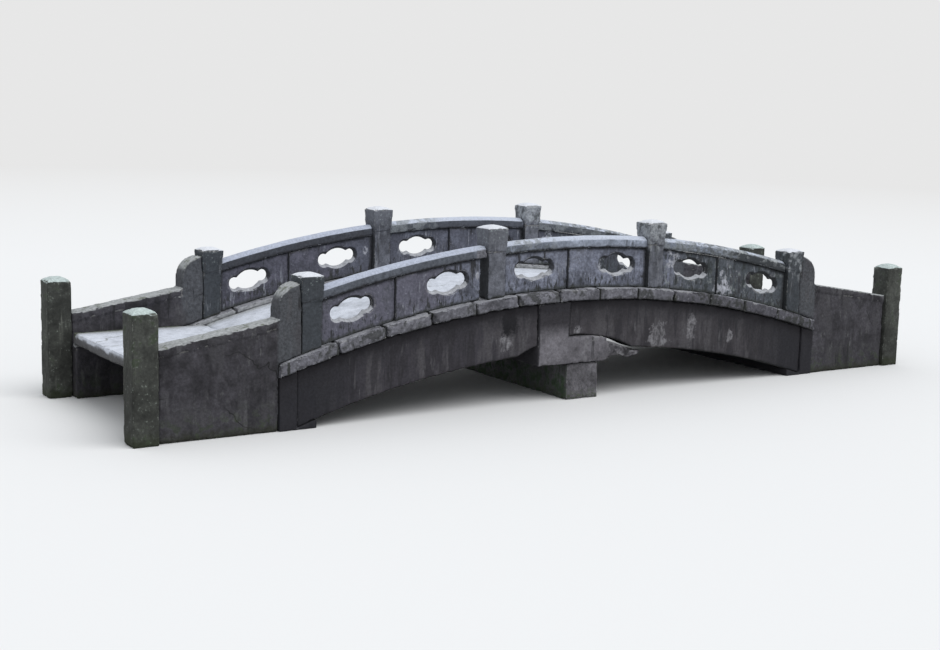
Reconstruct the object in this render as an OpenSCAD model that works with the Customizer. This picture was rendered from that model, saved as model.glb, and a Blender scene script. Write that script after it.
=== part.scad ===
// Garden moon bridge of weathered concrete and stone: an arched deck between two girders, carried at
// mid-span by a crosshead on a low pier, with a balustrade of square posts, round-topped handrails and
// panels pierced by lobed openings. Sloping wing walls and square bollards flank both approaches.
// X runs along the bridge, Y across it and Z up. The origin is on the pond bed, under the crown.

/* [Arch] */
// Length of one bay, from post to post along the bridge
bay_l = 2000; // [1850:10:2080]
// Radius of the arc that the curbs' top edge follows
arch_r = 10900; // [10700:100:14000]
// Height of the curbs' top edge above the pond bed at the crown
crown_h = 1140; // [1130:10:1400]
// Distance between the centre lines of the two balustrades
rail_gap = 2270; // [1900:10:2800]

/* [Posts] */
// Width of a post's square shaft
shaft_w = 200; // [160:5:240]
// Overhang of the square head's top past the shaft
head_lip = 20; // [12:1:40]
// Overhang of the square head's foot past the shaft
foot_lip = 6; // [3:1:11]
// Height of the head's underside above the curb
neck_h = 453; // [446:1:520]
// Height of the head's upright sides
head_h = 227; // [160:1:260]
// Rise of the crowned top over the head's sides
cap_rise = 35; // [15:1:60]

/* [Handrails] */
// Height of the handrail's underside above the curb
rail_under = 406; // [380:2:440]
// Depth of the handrail from its underside to its top
rail_d = 122; // [100:2:160]
// Width of the handrail
rail_w = 150; // [130:2:180]
// Rise of the handrail's rounded top over its upright sides
rail_crown = 40; // [15:1:60]

/* [Panels] */
// Thickness of a pierced panel
panel_t = 90; // [76:1:110]
// Width of the strut in the middle of a bay
strut_w = 230; // [150:5:300]
// Thickness of the strut
strut_t = 140; // [112:1:150]
// Length that has broken away from the near left panel at the inner post
broken_l = 50; // [20:5:90]
// Width of a lobed opening over its side lobes
hole_w = 440; // [380:5:500]
// Height of a lobed opening over its upper and lower lobes
hole_d = 190; // [150:2:220]
// Height of the opening's middle above the curb
hole_mid = 235; // [190:1:240]
// Width of the upper and lower lobes
lobe_w = 330; // [300:2:350]
// Radius of the round side lobes
side_lobe_r = 60; // [45:1:70]
// Width of the splay round an opening on both faces of the panel
splay = 28; // [10:1:34]

/* [Curbs] */
// Width of the curb
curb_w = 280; // [250:5:340]
// Thickness of the curb
curb_h = 122; // [100:1:140]
// Number of curb stones in one bay
stones_per_bay = 4; // [3:1:5]
// Open joint between two curb stones
joint_t = 6; // [2:1:12]
// Overhang of the curb past the girder's outer face
curb_over = 40; // [15:1:70]

/* [Girders and deck] */
// Depth of the girder under the curb, clear of the raised middle
girder_h = 505; // [420:5:510]
// Radius of the soffit's raised middle
haunch_r = 1600; // [1400:20:2400]
// Rise of the soffit at mid-span over its outer arc
haunch_rise = 148; // [100:1:180]
// Thickness of the deck slab
deck_t = 180; // [130:5:220]
// Depth of the walking surface below the curbs' top edge
deck_drop = 40; // [15:1:70]

/* [Crosshead and pier] */
// Reach of the crosshead to the left of the crown
cross_left = 490; // [420:5:560]
// Length of the stem that rises between the girders' ends
stem_l = 390; // [340:5:440]
// Reach of the crosshead's sound part to the right of the crown
cross_right = 380; // [320:5:440]
// Reach of the broken tip to the right of the crown
tip_reach = 830; // [700:5:860]
// Rise of the ragged underside at the broken tip
tip_rise = 78; // [60:1:90]
// Gap that the break has left under the girder's soffit
break_gap = 30; // [10:1:45]
// Height of the crosshead's underside above the pond bed
cross_z = 375; // [340:5:430]
// Distance that the crosshead and abutments stand proud of the girders' faces
cross_proud = 15; // [5:1:25]
// Width of the pier, measured along the bridge
pier_w = 395; // [280:5:420]
// Offset of the pier's middle to the right of the crown
pier_off = 85; // [40:5:100]

/* [Abutments] */
// Length of the bearing ledge under a girder's end
bearing_l = 200; // [120:5:300]
// Distance from the end post's outer face to the girder's end
girder_past = 50; // [30:2:90]

/* [Approaches] */
// Length of the round shoulder outside the end post
shoulder_l = 230; // [180:5:260]
// Height of the shoulder above the curb at the end post
shoulder_h = 660; // [560:5:680]
// Length of the wing wall between the shoulder and the bollard
wing_l = 1145; // [800:5:1500]
// Thickness of the wing wall
wing_t = 200; // [160:5:220]
// Height of the wing wall above the landing at its inner end
wing_h = 376; // [320:2:400]
// Height of the wing wall above the landing at its outer end
wing_end_h = 191; // [150:1:240]
// Thickness of the wing wall's coping
coping_t = 80; // [50:1:100]
// Distance that the coping stands proud of the wing wall
coping_lip = 10; // [4:1:18]
// Width of the ledge inside the wing wall that carries the landing
ledge_w = 100; // [60:5:160]
// Thickness of the landing slab
landing_t = 120; // [90:5:160]
// Width of a bollard
bollard_w = 240; // [220:5:280]
// Height of a bollard's upright sides above the landing
bollard_h = 505; // [400:5:600]
// Rise of a bollard's crowned top
bollard_rise = 46; // [20:1:70]

/* [Hidden] */

near = -1;
far = 1;
left = -1;
right = 1;
bays = [-1, 0, 1];

// Angle between two points of a long arc, and half the angle that the arcs cover
arc_step = 0.5;
arc_half = 26;
// Facets of the short arcs, and steps along a handrail and over its rounded top
$fn = 96;
haunch_fn = 720;
rail_steps = 20;
crown_steps = 8;
// Bedding joint between the handrails and what carries them
bed_t = 0.3;
// Least thickness of the lip that a handrail keeps under a post's head
lip_least = 25;
// Ragged underside of the crosshead's broken end, as shares of its length and of its rise
break_line = [[0, 0], [0.13, 0.55], [0.36, 0.6], [0.62, 0.15], [0.9, 0.4], [1, 1]];
// Reach of cutting solids past the faces that they cut
over = 10;

arch_z = crown_h - arch_r;
rail_y = rail_gap / 2;
head_w = shaft_w + 2 * head_lip;
head_foot_w = shaft_w + 2 * foot_lip;
shaft_half = shaft_w / 2;
end_post_x = 1.5 * bay_l;
deck_r = arch_r - deck_drop;
curb_bed_r = arch_r - curb_h;
soffit_r = curb_bed_r - girder_h;
haunch_z = arch_z + soffit_r + haunch_rise - haunch_r;
curb_in = rail_y - curb_w / 2;
curb_out = rail_y + curb_w / 2;
girder_out = curb_out - curb_over;
cross_out = girder_out + cross_proud;
stone_l = bay_l / stones_per_bay;
mid_stones = stones_per_bay + 1;
mid_curb_x = mid_stones * stone_l / 2;
deck_end = end_post_x + shaft_half;
girder_end = deck_end + girder_past;
shoulder_end = deck_end + shoulder_l;
wing_end = shoulder_end + wing_l;
landing_z = arc_z(deck_r, deck_end);
wing_in = rail_y - wing_t / 2;

concrete = [0.50, 0.51, 0.52];
pale_concrete = [0.66, 0.67, 0.67];
curb_stone = [0.54, 0.53, 0.51];
girder_concrete = [0.40, 0.40, 0.41];
paving = [0.72, 0.71, 0.68];
mossy_stone = [0.34, 0.36, 0.30];

// Height of the arc of radius r at the distance x from the crown
function arc_z(r, x) = arch_z + sqrt(r * r - x * x);

// Lean of the arc at the distance x from the crown
function lean(x) = asin(x / arch_r);

// Radius of a crowned top that rises by rise over the width w
function crown_r(w, rise) = (w * w / 4 + rise * rise) / (2 * rise);

// Side-view outline made into a solid between y0 and y1
module across(y0, y1)
  translate([0, y1, 0])
    rotate([90, 0, 0])
      linear_extrude(y1 - y0)
        children();

// Side view: the sector under the arc of radius r
module arc_disc(r)
  translate([0, arch_z])
    polygon([
      [0, 0],
      for (angle = [-arc_half : arc_step : arc_half]) [r * sin(angle), r * cos(angle)]
    ]);

// Side view: everything above the pond bed from x0 to x1
module bay_window(x0, x1)
  translate([x0, 0])
    square([x1 - x0, 2 * crown_h]);

// Side view: the curved strip between two radii from x0 to x1
module band(r0, r1, x0, x1)
  intersection() {
    difference() {
      arc_disc(r1);
      arc_disc(r0);
    }
    bay_window(x0, x1);
  }

// Side view: places an outline at the height h over the curb, leaning with the arc
module on_arc(x, h)
  translate([0, arch_z])
    rotate(-lean(x))
      translate([0, arch_r + h])
        children();

// Radius of the two arcs of a lens, w wide and d high
function lens_r(w, d) = (w * w + d * d) / (4 * d);

// Side view: a pointed lens, w wide and d high
module lens(w, d) {
  r = lens_r(w, d);
  intersection() {
    translate([0, d / 2 - r]) circle(r);
    translate([0, r - d / 2]) circle(r);
  }
}

// Side view: opening with two broad lobes above and below and a small round one at each side
module lobed_opening() {
  lens(lobe_w, hole_d);
  for (side = [left, right])
    translate([side * (hole_w / 2 - side_lobe_r), 0])
      circle(side_lobe_r);
}

// Cone along the depth of a panel, of radius r at the depth of the splay and wider towards the face at z = 0
module splay_cone(r)
  translate([0, 0, -splay - over])
    cylinder(h = splay + 2 * over, r1 = r - over, r2 = r + splay + over);

// Splay round a lobed opening, lying in the XY plane with the panel's face at z = 0
module splayed_rim() {
  r = lens_r(lobe_w, hole_d);
  intersection() {
    translate([0, hole_d / 2 - r, 0]) splay_cone(r);
    translate([0, r - hole_d / 2, 0]) splay_cone(r);
  }
  for (side = [left, right])
    translate([side * (hole_w / 2 - side_lobe_r), 0, 0])
      splay_cone(side_lobe_r);
}

// Block with four sloping sides, square at its foot and its top, from z = 0 to h
module tapered_block(foot_w, w, h) {
  sides = [[-foot_w / 2, 0], [foot_w / 2, 0], [w / 2, h], [-w / 2, h]];
  intersection() {
    rotate([90, 0, 0])
      linear_extrude(2 * w, center = true) polygon(sides);
    rotate([90, 0, 90])
      linear_extrude(2 * w, center = true) polygon(sides);
  }
}

// Square block with a crowned top, standing at x, y from z0 to z1 and rising by rise above that
module crowned_block(x, y, foot_w, w, z0, z1, rise) {
  r = crown_r(w, rise);
  translate([x, y, z0])
    tapered_block(foot_w, w, z1 - z0);
  intersection() {
    translate([x - w / 2, y - w / 2, z1])
      cube([w, w, rise]);
    translate([x - w, y, z1 + rise - r])
      rotate([0, 90, 0])
        cylinder(h = 2 * w, r = r);
    translate([x, y + w, z1 + rise - r])
      rotate([90, 0, 0])
        cylinder(h = 2 * w, r = r);
  }
}

// Head of the post at x on one side of the bridge
module post_head(x, side) {
  head_z = arc_z(arch_r, x) + neck_h;
  crowned_block(x, side * rail_y, head_foot_w, head_w, head_z, head_z + head_h, cap_rise);
}

// Post: upright shaft cut to the curb's arc, with its head
module post(x, side) {
  across(side * rail_y - shaft_half, side * rail_y + shaft_half)
    difference() {
      translate([x - shaft_half, arc_z(arch_r, x) - shaft_w])
        square([shaft_w, shaft_w + neck_h + head_h / 2]);
      arc_disc(arch_r);
    }
  post_head(x, side);
}

// Section of the handrail: flat underside, upright sides and a rounded top
function rail_section() =
  let (
    side_d = rail_d - rail_crown,
    top_r = crown_r(rail_w, rail_crown),
    half_angle = asin(rail_w / 2 / top_r)
  ) [
    [-rail_w / 2, 0],
    [rail_w / 2, 0],
    [rail_w / 2, side_d],
    for (i = [1 : crown_steps - 1])
      let (angle = half_angle * (1 - 2 * i / crown_steps))
        [top_r * sin(angle), rail_d - top_r + top_r * cos(angle)],
    [-rail_w / 2, side_d]
  ];

// Handrail lofted along the arc between two upright ends
module rail_loft(x0, x1, side) {
  section = rail_section();
  n = len(section);
  polyhedron(
    points = [
      for (i = [0 : rail_steps])
        let (x = x0 + (x1 - x0) * i / rail_steps)
          for (p = section) [x, side * rail_y + p[0], arc_z(arch_r + rail_under + p[1], x)]
    ],
    faces = [
      [for (j = [0 : n - 1]) j],
      for (i = [0 : rail_steps - 1])
        for (j = [0 : n - 1])
          [i * n + j, (i + 1) * n + j, (i + 1) * n + (j + 1) % n, i * n + (j + 1) % n],
      [for (j = [n - 1 : -1 : 0]) rail_steps * n + j]
    ]
  );
}

// Notch that a handrail has round the head of the post at post_x, which it meets at face_x. It goes down
// past the head's foot where too thin a lip would be left under the head.
module rail_notch(post_x, face_x, side) {
  head_z = arc_z(arch_r, post_x) + neck_h;
  translate([post_x, side * rail_y, head_z])
    tapered_block(head_foot_w, head_w, head_h);
  if (head_z - arc_z(arch_r + rail_under, face_x) < lip_least)
    translate([post_x - head_foot_w / 2, side * rail_y - head_foot_w / 2, head_z - 2 * lip_least])
      cube([head_foot_w, head_foot_w, 2 * lip_least]);
}

// Handrail of one bay, cut to the posts and notched round their heads
module rail(bay, side) {
  mid = bay * bay_l;
  clear_half = bay_l / 2 - shaft_half;
  difference() {
    rail_loft(mid - clear_half, mid + clear_half, side);
    for (end = [left, right])
      rail_notch(mid + end * bay_l / 2, mid + end * clear_half, side);
  }
}

// Side view: upright strut in the middle of a bay, between curb and handrail
module strut_outline(bay)
  band(arch_r, arch_r + rail_under - bed_t, bay * bay_l - strut_w / 2, bay * bay_l + strut_w / 2);

// Side view: one pierced panel from x0 to x1, with its opening's middle at hole_x
module panel_outline(x0, x1, hole_x)
  difference() {
    band(arch_r, arch_r + rail_under - bed_t, x0, x1);
    on_arc(hole_x, hole_mid)
      lobed_opening();
  }

// One pierced panel from x0 to x1, with the splay round its opening on both faces
module panel(x0, x1, hole_x, side) {
  lean_here = lean(hole_x);
  difference() {
    across(side * rail_y - panel_t / 2, side * rail_y + panel_t / 2)
      panel_outline(x0, x1, hole_x);
    for (face = [near, far])
      translate([0, side * rail_y + face * panel_t / 2, arch_z])
        rotate([0, lean_here, 0])
          translate([0, 0, arch_r + hole_mid])
            rotate([-face * 90, 0, 0])
              splayed_rim();
  }
}

// The two pierced panels of one bay, between the posts and the strut, with a length broken away at the right
module panels(bay, side, broken = 0) {
  mid = bay * bay_l;
  half_clear = bay_l / 2 - shaft_half;
  hole_x = (half_clear + strut_w / 2) / 2;
  panel(mid - half_clear, mid - strut_w / 2, mid - hole_x, side);
  panel(mid + strut_w / 2, mid + half_clear - broken, mid + hole_x, side);
}

// The three struts of one balustrade
module struts(side)
  across(side * rail_y - strut_t / 2, side * rail_y + strut_t / 2)
    for (bay = bays)
      strut_outline(bay);

// Side view: sector between the arc's centre and two places x0 and x1 along the curb
module sector(x0, x1) {
  reach = 2 * arch_r;
  polygon([
    [0, arch_z],
    [reach * sin(lean(x0)), arch_z + reach * cos(lean(x0))],
    [reach * sin(lean(x1)), arch_z + reach * cos(lean(x1))]
  ]);
}

// One curb stone with joints square to the arc
module curb_stone(x0, x1, side)
  across(side * rail_y - curb_w / 2, side * rail_y + curb_w / 2)
    intersection() {
      band(curb_bed_r, arch_r, -shoulder_end, shoulder_end);
      sector(x0 + joint_t / 2, x1 - joint_t / 2);
    }

// Curb stones of the middle bay, with the ones that the inner posts stand on
module middle_curb(side)
  for (i = [0 : mid_stones - 1])
    curb_stone(i * stone_l - mid_curb_x, (i + 1) * stone_l - mid_curb_x, side);

// Curb stones of an outer bay on the right, the last one running on under the shoulder
module outer_curb(side) {
  count = floor((end_post_x - stone_l / 2 - mid_curb_x) / stone_l + 0.01);
  for (i = [0 : count - 1])
    curb_stone(mid_curb_x + i * stone_l, mid_curb_x + (i + 1) * stone_l, side);
  curb_stone(mid_curb_x + count * stone_l, shoulder_end + stone_l, side);
}

// Side view: girders' outline with the soffit's raised middle
module girder_outline(x0, x1)
  difference() {
    band(soffit_r, curb_bed_r, x0, x1);
    haunch_disc();
  }

// Side view: disc under the soffit's raised middle
module haunch_disc()
  translate([0, haunch_z])
    circle(haunch_r, $fn = haunch_fn);

// Girder from x0 to x1 on one side
module girder(x0, x1, side)
  across(min(side * curb_in, side * girder_out), max(side * curb_in, side * girder_out))
    girder_outline(x0, x1);

// Arched deck slab between the girders
module deck()
  across(-curb_in, curb_in)
    band(deck_r - deck_t, deck_r, -deck_end, deck_end);

// Side view: everything under the girders' soffit
module under_soffit() {
  arc_disc(soffit_r);
  haunch_disc();
}

// Side view: crosshead's broken right end, ragged underneath and apart from the girder's soffit above
module broken_end()
  intersection() {
    translate([cross_right, cross_z])
      polygon([
        for (p = break_line) [p[0] * (tip_reach - cross_right), p[1] * tip_rise],
        [tip_reach - cross_right, crown_h],
        [0, crown_h]
      ]);
    translate([0, -break_gap])
      under_soffit();
  }

// Side view: crosshead with its stem, level underside and broken right end
module crosshead_outline() {
  intersection() {
    translate([-cross_left, cross_z])
      square([stem_l, crown_h]);
    arc_disc(curb_bed_r);
  }
  intersection() {
    translate([-cross_left, cross_z])
      square([cross_left + cross_right, crown_h]);
    under_soffit();
  }
  broken_end();
}

// Crosshead across the whole bridge, with the deck slab let into its stem
module crosshead_beam()
  difference() {
    across(-cross_out, cross_out)
      crosshead_outline();
    across(-curb_in, curb_in)
      difference() {
        bay_window(-cross_left - over, over);
        arc_disc(deck_r - deck_t);
      }
  }

// Pier wall under the crosshead
module pier_wall()
  translate([pier_off - pier_w / 2, -girder_out, 0])
    cube([pier_w, 2 * girder_out, cross_z]);

// Side view: abutment's cheeks, with the bearing ledge under the girder's end
module cheek_outline() {
  intersection() {
    bay_window(girder_end - bearing_l, girder_end);
    arc_disc(soffit_r);
  }
  intersection() {
    bay_window(girder_end, shoulder_end);
    arc_disc(curb_bed_r);
  }
}

// Side view: abutment's breast wall between the girders, with the seats of the deck and landing
module breast_outline() {
  intersection() {
    bay_window(girder_end - bearing_l, deck_end);
    arc_disc(deck_r - deck_t);
  }
  translate([deck_end, 0])
    square([shoulder_l, landing_z - landing_t]);
}

// Abutment on the right
module abutment() {
  for (side = [near, far])
    across(min(side * curb_in, side * cross_out), max(side * curb_in, side * cross_out))
      cheek_outline();
  across(-curb_in, curb_in)
    breast_outline();
}

// Side view: round shoulder outside the end post on the right, seated on the curb
module shoulder_outline() {
  round_z = arc_z(arch_r, deck_end) + shoulder_h - shoulder_l;
  difference() {
    union() {
      translate([deck_end, landing_z - landing_t])
        square([shoulder_l, round_z - landing_z + landing_t]);
      intersection() {
        translate([deck_end, round_z])
          circle(shoulder_l);
        translate([deck_end, round_z])
          square(shoulder_l);
      }
    }
    arc_disc(arch_r);
  }
}

// Side view: wing wall from the shoulder to the bollard, lowered by drop under its top line
module wing_outline(drop)
  polygon([
    [shoulder_end, 0],
    [wing_end, 0],
    [wing_end, landing_z + wing_end_h - drop],
    [shoulder_end, landing_z + wing_h - drop]
  ]);

// Wing wall on the right: shoulder, sloping parapet with its coping, and retaining wall with a ledge
module wing_wall(side) {
  difference() {
    across(side * rail_y - wing_t / 2, side * rail_y + wing_t / 2)
      shoulder_outline();
    post_head(end_post_x, side);
  }
  across(side * rail_y - wing_t / 2, side * rail_y + wing_t / 2)
    wing_outline(0);
  across(side * rail_y - wing_t / 2 - coping_lip, side * rail_y + wing_t / 2 + coping_lip)
    difference() {
      wing_outline(0);
      wing_outline(coping_t);
    }
  across(min(side * (wing_in - ledge_w), side * rail_y), max(side * (wing_in - ledge_w), side * rail_y))
    translate([shoulder_end, 0])
      square([wing_l, landing_z - landing_t]);
}

// Landing slab on the right, from the deck's end to the bollards
module landing()
  difference() {
    translate([deck_end, -wing_in, landing_z - landing_t])
      cube([wing_end - deck_end, 2 * wing_in, landing_t]);
    for (side = [near, far])
      translate([deck_end - over, side * curb_in - (side < 0 ? wing_in : 0), 0])
        cube([shoulder_l + over, wing_in, 2 * crown_h]);
  }

// The two bollards on the right, flush with the wing walls' inner faces and running down to the pond bed
module bollards()
  for (side = [near, far])
    crowned_block(wing_end + bollard_w / 2, side * (wing_in + bollard_w / 2), bollard_w, bollard_w, 0,
                  landing_z + bollard_h, bollard_rise);

module near_left_end_post() color(concrete) post(-end_post_x, near);
module near_left_post() color(concrete) post(-bay_l / 2, near);
module near_right_post() color(concrete) post(bay_l / 2, near);
module near_right_end_post() color(concrete) post(end_post_x, near);
module far_left_end_post() color(concrete) post(-end_post_x, far);
module far_left_post() color(concrete) post(-bay_l / 2, far);
module far_right_post() color(concrete) post(bay_l / 2, far);
module far_right_end_post() color(concrete) post(end_post_x, far);
module near_left_rail() color(pale_concrete) rail(-1, near);
module near_middle_rail() color(pale_concrete) rail(0, near);
module near_right_rail() color(pale_concrete) rail(1, near);
module far_left_rail() color(pale_concrete) rail(-1, far);
module far_middle_rail() color(pale_concrete) rail(0, far);
module far_right_rail() color(pale_concrete) rail(1, far);
module near_left_panels() color(concrete) panels(-1, near, broken_l);
module near_middle_panels() color(concrete) panels(0, near);
module near_right_panels() color(concrete) panels(1, near);
module far_left_panels() color(concrete) panels(-1, far);
module far_middle_panels() color(concrete) panels(0, far);
module far_right_panels() color(concrete) panels(1, far);
module near_struts() color(concrete) struts(near);
module far_struts() color(concrete) struts(far);
module near_left_curb() color(curb_stone) mirror([1, 0, 0]) outer_curb(near);
module near_middle_curb() color(curb_stone) middle_curb(near);
module near_right_curb() color(curb_stone) outer_curb(near);
module far_left_curb() color(curb_stone) mirror([1, 0, 0]) outer_curb(far);
module far_middle_curb() color(curb_stone) middle_curb(far);
module far_right_curb() color(curb_stone) outer_curb(far);
module near_left_girder() color(girder_concrete) girder(-girder_end, -cross_left, near);
module near_right_girder() color(girder_concrete) girder(stem_l - cross_left, girder_end, near);
module far_left_girder() color(girder_concrete) girder(-girder_end, -cross_left, far);
module far_right_girder() color(girder_concrete) girder(stem_l - cross_left, girder_end, far);
module deck_slab() color(paving) deck();
module crosshead() color(concrete) crosshead_beam();
module pier() color(mossy_stone) pier_wall();
module left_abutment() color(girder_concrete) mirror([1, 0, 0]) abutment();
module right_abutment() color(girder_concrete) abutment();
module near_left_wing_wall() color(concrete) mirror([1, 0, 0]) wing_wall(near);
module near_right_wing_wall() color(concrete) wing_wall(near);
module far_left_wing_wall() color(concrete) mirror([1, 0, 0]) wing_wall(far);
module far_right_wing_wall() color(concrete) wing_wall(far);
module left_landing() color(paving) mirror([1, 0, 0]) landing();
module right_landing() color(paving) landing();
module left_bollards() color(mossy_stone) mirror([1, 0, 0]) bollards();
module right_bollards() color(mossy_stone) bollards();

near_left_end_post();
near_left_post();
near_right_post();
near_right_end_post();
far_left_end_post();
far_left_post();
far_right_post();
far_right_end_post();
near_left_rail();
near_middle_rail();
near_right_rail();
far_left_rail();
far_middle_rail();
far_right_rail();
near_left_panels();
near_middle_panels();
near_right_panels();
far_left_panels();
far_middle_panels();
far_right_panels();
near_struts();
far_struts();
near_left_curb();
near_middle_curb();
near_right_curb();
far_left_curb();
far_middle_curb();
far_right_curb();
near_left_girder();
near_right_girder();
far_left_girder();
far_right_girder();
deck_slab();
crosshead();
pier();
left_abutment();
right_abutment();
near_left_wing_wall();
near_right_wing_wall();
far_left_wing_wall();
far_right_wing_wall();
left_landing();
right_landing();
left_bollards();
right_bollards();
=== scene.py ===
import math

import bmesh
import bpy
from mathutils import Matrix, Vector, kdtree, noise


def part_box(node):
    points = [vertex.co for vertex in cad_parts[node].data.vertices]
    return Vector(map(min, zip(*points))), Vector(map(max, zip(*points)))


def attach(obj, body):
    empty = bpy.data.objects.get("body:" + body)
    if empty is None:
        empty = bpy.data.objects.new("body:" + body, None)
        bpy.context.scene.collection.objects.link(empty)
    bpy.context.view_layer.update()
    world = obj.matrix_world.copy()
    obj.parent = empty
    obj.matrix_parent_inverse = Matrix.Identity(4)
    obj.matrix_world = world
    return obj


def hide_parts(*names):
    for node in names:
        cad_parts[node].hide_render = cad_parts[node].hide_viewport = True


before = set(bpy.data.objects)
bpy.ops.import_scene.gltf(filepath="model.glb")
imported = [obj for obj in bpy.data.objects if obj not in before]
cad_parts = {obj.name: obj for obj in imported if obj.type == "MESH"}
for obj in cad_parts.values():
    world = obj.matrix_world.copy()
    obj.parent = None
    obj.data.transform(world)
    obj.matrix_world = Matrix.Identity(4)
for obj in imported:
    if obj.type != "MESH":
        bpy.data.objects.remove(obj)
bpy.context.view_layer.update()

# Camera
# It stands where the photograph was taken from, to the left of the bridge and above its handrails, and it
# leans a little as the photograph does. A longer lens lets the bridge fill the picture.
eye = Vector((-9.163, -13.394, 3.122))
aim = Vector((-0.5, 0.0, 0.62))
lean = math.radians(1.46)
lens_mm = 58
sensor_mm = 36

lens = bpy.data.cameras.new("camera")
lens.lens = lens_mm
lens.sensor_width = sensor_mm
camera = bpy.data.objects.new("camera", lens)
turned = (aim - eye).to_track_quat("-Z", "Y").to_matrix() @ Matrix.Rotation(lean, 3, "Z")
camera.matrix_world = Matrix.Translation(eye) @ turned.to_4x4()
bpy.context.scene.collection.objects.link(camera)
bpy.context.scene.camera = camera

# Posts
# Eight square posts of cast concrete stand on the curb stones and end in a head that widens towards its
# crowned top. Their arrises are worn, rain has streaked the faces and pale lichen covers the tops.
crown_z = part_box("near_middle_curb")[1].z
arch_r = 10.9
arch_z = crown_z - arch_r
bay_l = 2.0
inner_post_x = bay_l / 2
end_post_x = inner_post_x + bay_l
head_foot = 0.453


def merged_copy(node):
    """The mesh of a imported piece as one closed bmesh."""
    weld = 0.00002
    mesh = bmesh.new()
    mesh.from_mesh(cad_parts[node].data)
    bmesh.ops.remove_doubles(mesh, verts=mesh.verts, dist=weld)
    return mesh


def stones_of(mesh):
    """The separate solids of a mesh, each as a bmesh of its own."""
    mesh.faces.index_update()
    taken = set()
    stones = []
    for first in mesh.faces:
        if first in taken:
            continue
        joined = set()
        reached = [first]
        while reached:
            face = reached.pop()
            if face in joined:
                continue
            joined.add(face)
            reached += [other for vert in face.verts for other in vert.link_faces if other not in joined]
        taken |= joined
        numbers = {face.index for face in joined}
        stone = mesh.copy()
        others = [face for face in stone.faces if face.index not in numbers]
        bmesh.ops.delete(stone, geom=others, context="FACES")
        stones.append(stone)
    return stones


def arrises(stone, spacing, least_angle):
    """A search tree of points along the outward edges of a solid, where it chips and wears."""
    points = []
    for edge in stone.edges:
        if len(edge.link_faces) == 2 and edge.is_convex and edge.calc_face_angle(0) > least_angle:
            start, end = (vert.co for vert in edge.verts)
            count = max(1, math.ceil((end - start).length / spacing))
            points += [start.lerp(end, i / count) for i in range(count + 1)]
    edges = kdtree.KDTree(len(points))
    for number, point in enumerate(points):
        edges.insert(point, number)
    edges.balance()
    return edges


def remeshed(stone, grain):
    """The solid with even faces about one grain wide, ready to be worn."""
    data = bpy.data.meshes.new("stone")
    stone.to_mesh(data)
    holder = bpy.data.objects.new("stone", data)
    bpy.context.scene.collection.objects.link(holder)
    remesh = holder.modifiers.new("even", "REMESH")
    remesh.mode = "VOXEL"
    remesh.voxel_size = grain
    shown = holder.evaluated_get(bpy.context.evaluated_depsgraph_get())
    even = bmesh.new()
    even.from_mesh(shown.to_mesh())
    shown.to_mesh_clear()
    bpy.data.objects.remove(holder)
    bpy.data.meshes.remove(data)
    return even


def held_to_one(value):
    """The value, but no less than 0 and no more than 1."""
    return min(1.0, max(0.0, value))


def wear_down(stone, edges, chip, dent, seed, ragged):
    """Breaks chips off the arrises and leaves the faces uneven, only ever inwards.

    The attribute "chip" keeps how much has gone at each point, for the finish.
    """
    chips_a_metre = 9
    dents_a_metre = 5
    shreds_a_metre = 16
    # An arris is partly rubbed round all along and partly broken in chips.
    rubbed_share = 0.18
    chipped_share = 0.82
    worn = stone.verts.layers.float.new("chip")
    stone.normal_update()
    shift = Vector((seed * 7.3, seed * 3.1, seed * 5.7))
    moves = []
    for vert in stone.verts:
        spot = vert.co + shift
        loss = held_to_one(4 * noise.fractal(spot * chips_a_metre, 0.8, 2.2, 4) + 0.1)
        reach = chip * (0.8 + 1.4 * loss)
        near = max(0.0, 1 - edges.find(vert.co)[2] / reach)
        bite = near * (rubbed_share * near + chipped_share * loss)
        uneven = held_to_one(0.5 + 0.6 * noise.fractal(spot * dents_a_metre, 0.8, 2.1, 5))
        depth = chip * bite + dent * uneven
        torn = ragged(vert.co) if ragged else 0.0
        if torn:
            shred = abs(noise.fractal(spot * shreds_a_metre, 0.7, 2.3, 4)) * 2
            depth += torn * min(1.0, 0.1 + shred)
            bite = max(bite, 0.4)
        vert[worn] = bite
        moves.append((vert, vert.normal * depth))
    for vert, move in moves:
        vert.co -= move


def worn_piece(node, grain, chip, dent, keep, ragged=None, least_angle=0.6):
    """The weathered piece that stands for a packed one, inside its box.

    Its faces are one grain wide until they are thinned to the share keep. Wear goes as deep as chip on
    edges that turn more than least_angle, as deep as dent elsewhere, and as ragged says on a broken end.
    """
    sharp_from = math.radians(50)
    whole = bpy.data.meshes.new(node + "_worn")
    gathered = bmesh.new()
    source = merged_copy(node)
    seed = sum(map(ord, node)) % 97
    for stone in stones_of(source):
        edges = arrises(stone, grain, least_angle)
        even = remeshed(stone, grain)
        place = min(vert.co.x for vert in stone.verts) + min(vert.co.y for vert in stone.verts)
        wear_down(even, edges, chip, dent, seed + place, ragged)
        part = bpy.data.meshes.new("part")
        even.to_mesh(part)
        gathered.from_mesh(part)
        bpy.data.meshes.remove(part)
        even.free()
        stone.free()
    source.free()
    gathered.to_mesh(whole)
    gathered.free()
    piece = bpy.data.objects.new(node + "_worn", whole)
    bpy.context.scene.collection.objects.link(piece)
    thin = piece.modifiers.new("thin", "DECIMATE")
    thin.ratio = keep
    shown = piece.evaluated_get(bpy.context.evaluated_depsgraph_get())
    piece.data = bpy.data.meshes.new_from_object(shown)
    piece.modifiers.clear()
    bpy.data.meshes.remove(whole)
    low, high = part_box(node)
    for vert in piece.data.vertices:
        vert.co = [min(max(value, least), most) for value, least, most in zip(vert.co, low, high)]
    piece.data.polygons.foreach_set("use_smooth", [True] * len(piece.data.polygons))
    piece.data.set_sharp_from_angle(angle=sharp_from)
    piece.data.update()
    return piece


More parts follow.
